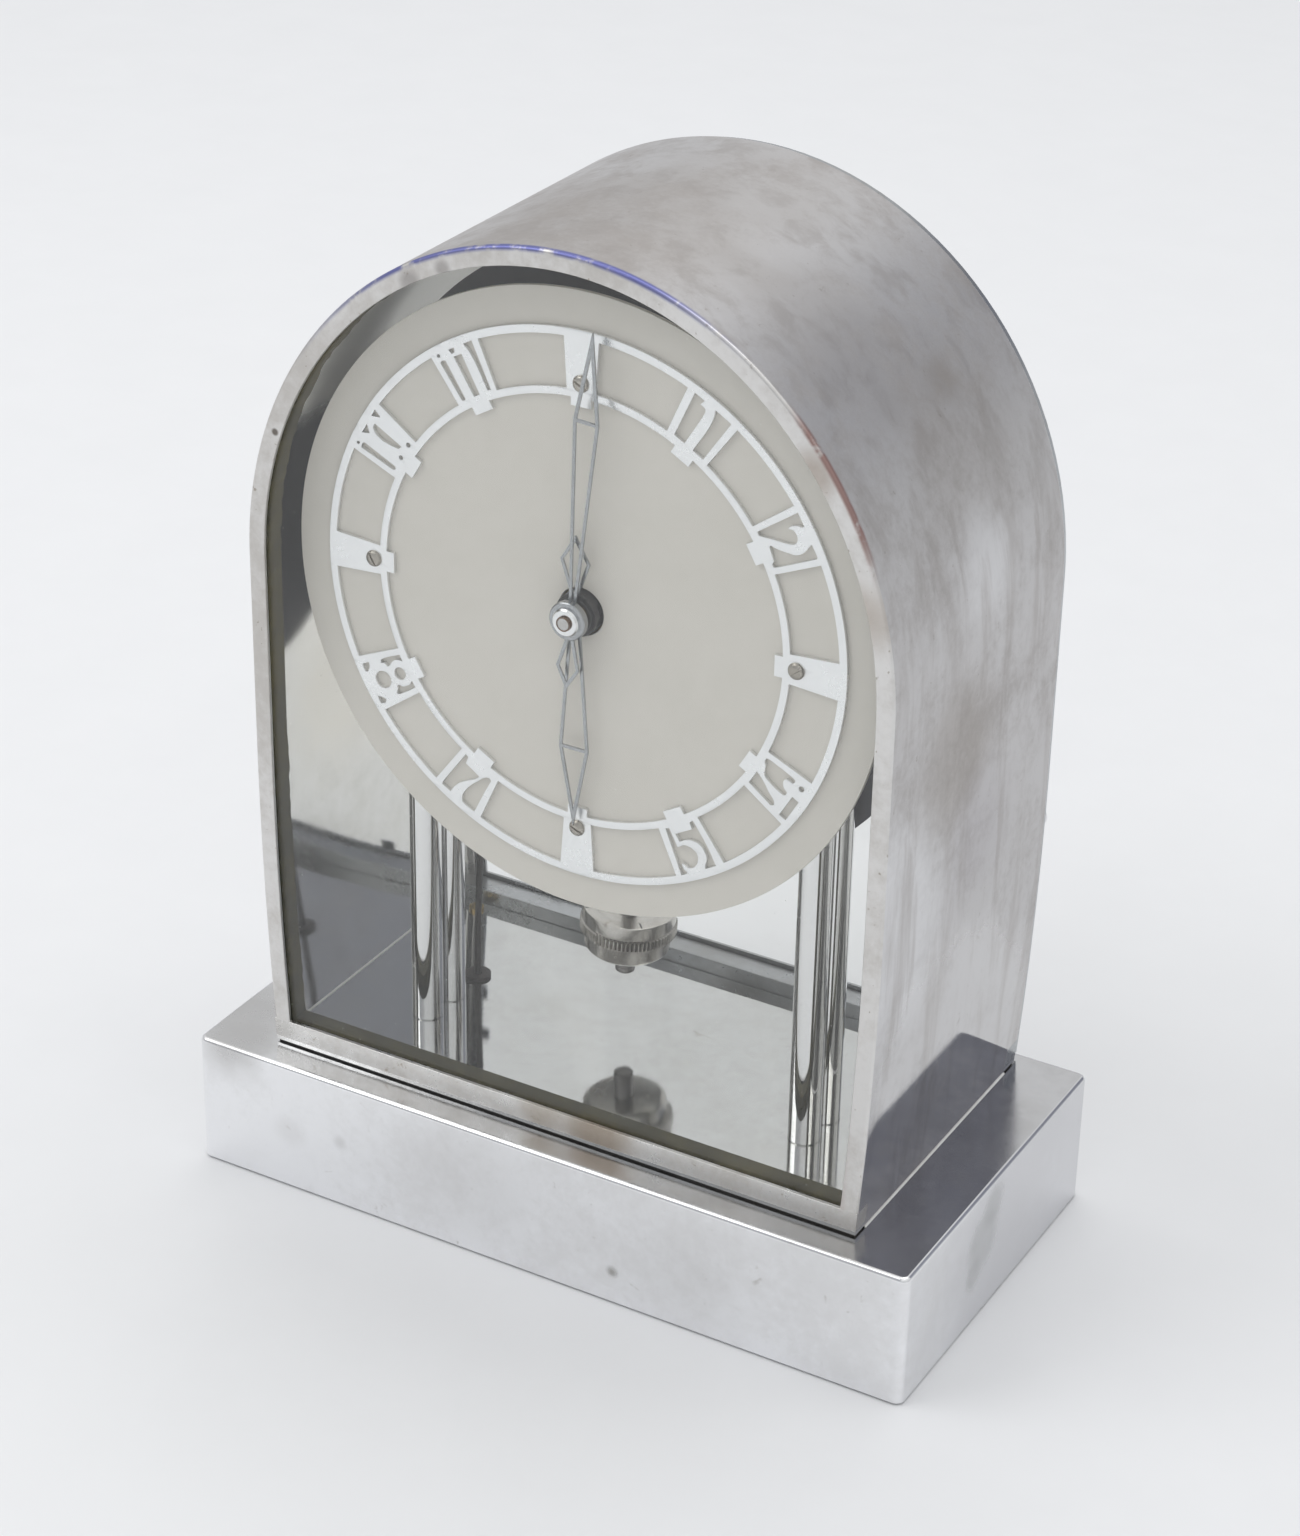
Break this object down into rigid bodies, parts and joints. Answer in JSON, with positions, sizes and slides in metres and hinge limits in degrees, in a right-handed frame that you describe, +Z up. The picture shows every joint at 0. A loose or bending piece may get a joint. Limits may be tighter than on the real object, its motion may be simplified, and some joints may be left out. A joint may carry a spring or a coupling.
{
  "type": "desk_pendulum_clock",
  "caption": "Glazed arch-topped desk clock on a plated plinth, with a pierced chapter ring, open lance hands and a short battery-driven pendulum behind the dial",
  "frame": {"origin": "centre of the underside of the base, on the plane the felt feet rest on", "axes": "+X to the viewer's right when facing the dial, +Y from the dial to the rear door, +Z up"},
  "size_m": [0.21, 0.107, 0.275],
  "materials": {
    "case_chrome": "polished chrome, dulled by handling",
    "base_chrome": "polished chrome with fine rubbing marks",
    "bright_chrome": "bright chrome",
    "glass": "clear",
    "gasket": "matt, aged",
    "card": "matt",
    "dial_paint": "satin grey-green",
    "ring_metal": "satin silver plate",
    "steel": "machined",
    "brass": "turned, lacquered",
    "black_plate": "black lacquer",
    "black_collet": "black polished",
    "nickel": "nickel-plated brass, warm grey",
    "magnet_steel": "dark magnet steel",
    "fibre": "red-brown fibre",
    "winding": "enamelled wire, varnished",
    "insulator": "moulded, dark brown",
    "lead_cover": "woven dark cover",
    "felt": "felt, dark green",
    "cell_wrap": "printed card wrap without text",
    "base_steel": "zinc-plated sheet"
  },
  "bodies": {
    "frame": {"base_shell": "base_chrome", "base_bottom_plate": "base_steel", "bottom_plate_screws": "steel", "felt_feet": "felt", "battery_tray": "insulator", "battery_contacts": "brass", "battery_cell": "cell_wrap", "case_hoop": "case_chrome", "front_sill": "bright_chrome", "rear_sill": "bright_chrome", "floor_plate": "bright_chrome", "case_underlay": "card", "front_glass": "glass", "glass_gasket": "gasket", "floor_screws": "brass", "lead_bush": "insulator", "column_front_left": "bright_chrome", "column_front_right": "bright_chrome", "column_rear_left": "bright_chrome", "column_rear_right": "bright_chrome", "column_screws": "steel", "column_nuts": "steel", "front_movement_plate": "brass", "rear_movement_plate": "black_plate", "plate_pillars": "brass", "dial_feet": "steel", "dial": "dial_paint", "chapter_ring": "ring_metal", "ring_screws": "steel", "minute_wheel_stud": "steel", "suspension_bracket": "steel", "coil_bobbin": "fibre", "coil_winding": "winding", "coil_cradle": "brass", "terminal_block": "insulator", "battery_lead": "lead_cover", "case_hinges": "bright_chrome"},
    "minute_train": {"centre_arbor": "steel", "centre_wheel": "brass", "cannon_pinion": "steel", "minute_hand": "ring_metal", "hand_nut": "ring_metal"},
    "hour_train": {"hour_wheel": "brass", "hour_collet": "black_collet", "hour_hand": "ring_metal"},
    "motion_wheel": {"minute_wheel": "brass"},
    "intermediate": {"intermediate_wheel": "brass"},
    "ratchet": {"ratchet_wheel": "brass"},
    "pendulum": {"suspension_spring": "steel", "pendulum_rod": "steel", "magnet_bar": "magnet_steel", "bob_weight": "nickel"},
    "rating_nut_body": {"rating_nut": "nickel"},
    "pawl_body": {"pawl": "steel"},
    "rear_door": {"rear_door_frame": "bright_chrome", "rear_glass": "glass", "door_glass_clips": "bright_chrome", "door_hinge_knuckles": "bright_chrome", "door_knob": "bright_chrome", "door_catch": "steel"}
  },
  "joints": [
    {"name": "minute_hand_turn", "type": "hinge", "parent": "frame", "child": "minute_train", "pos_m": [0, -0.02, 0.1814], "axis": [0, 1, 0], "continuous": true},
    {"name": "hour_hand_turn", "type": "hinge", "parent": "frame", "child": "hour_train", "pos_m": [0, -0.02, 0.1814], "axis": [0, 1, 0], "continuous": true},
    {"name": "minute_wheel_turn", "type": "hinge", "parent": "frame", "child": "motion_wheel", "pos_m": [-0.00848, -0.024, 0.18988], "axis": [0, 1, 0], "continuous": true},
    {"name": "intermediate_wheel_turn", "type": "hinge", "parent": "frame", "child": "intermediate", "pos_m": [-0.01994, -0.011, 0.1721], "axis": [0, 1, 0], "continuous": true},
    {"name": "ratchet_wheel_turn", "type": "hinge", "parent": "frame", "child": "ratchet", "pos_m": [-0.01233, -0.006, 0.15579], "axis": [0, 1, 0], "continuous": true},
    {"name": "pendulum_swing", "type": "hinge", "parent": "frame", "child": "pendulum", "pos_m": [0, 0.009, 0.218], "axis": [0, 1, 0], "range_deg": [-7.8, 0.6]},
    {"name": "rating_nut_turn", "type": "hinge", "parent": "pendulum", "child": "rating_nut_body", "pos_m": [-0.00942, 0.009, 0.0683], "axis": [0.0628, 0, 0.998], "continuous": true},
    {"name": "pawl_lift", "type": "hinge", "parent": "pendulum", "child": "pawl_body", "pos_m": [-0.00289, -0.0056, 0.17209], "axis": [0, 1, 0], "range_deg": [0, 10]},
    {"name": "rear_door_swing", "type": "hinge", "parent": "frame", "child": "rear_door", "pos_m": [-0.0876, 0.0513, 0.12], "axis": [0, 0, 1], "range_deg": [0, 110]}
  ],
  "couplings": [
    {"joint": "hour_hand_turn", "follows": "minute_hand_turn", "ratio": 0.083333},
    {"joint": "minute_wheel_turn", "follows": "minute_hand_turn", "ratio": -0.33333},
    {"joint": "intermediate_wheel_turn", "follows": "minute_hand_turn", "ratio": -10},
    {"joint": "ratchet_wheel_turn", "follows": "minute_hand_turn", "ratio": 80}
  ]
}
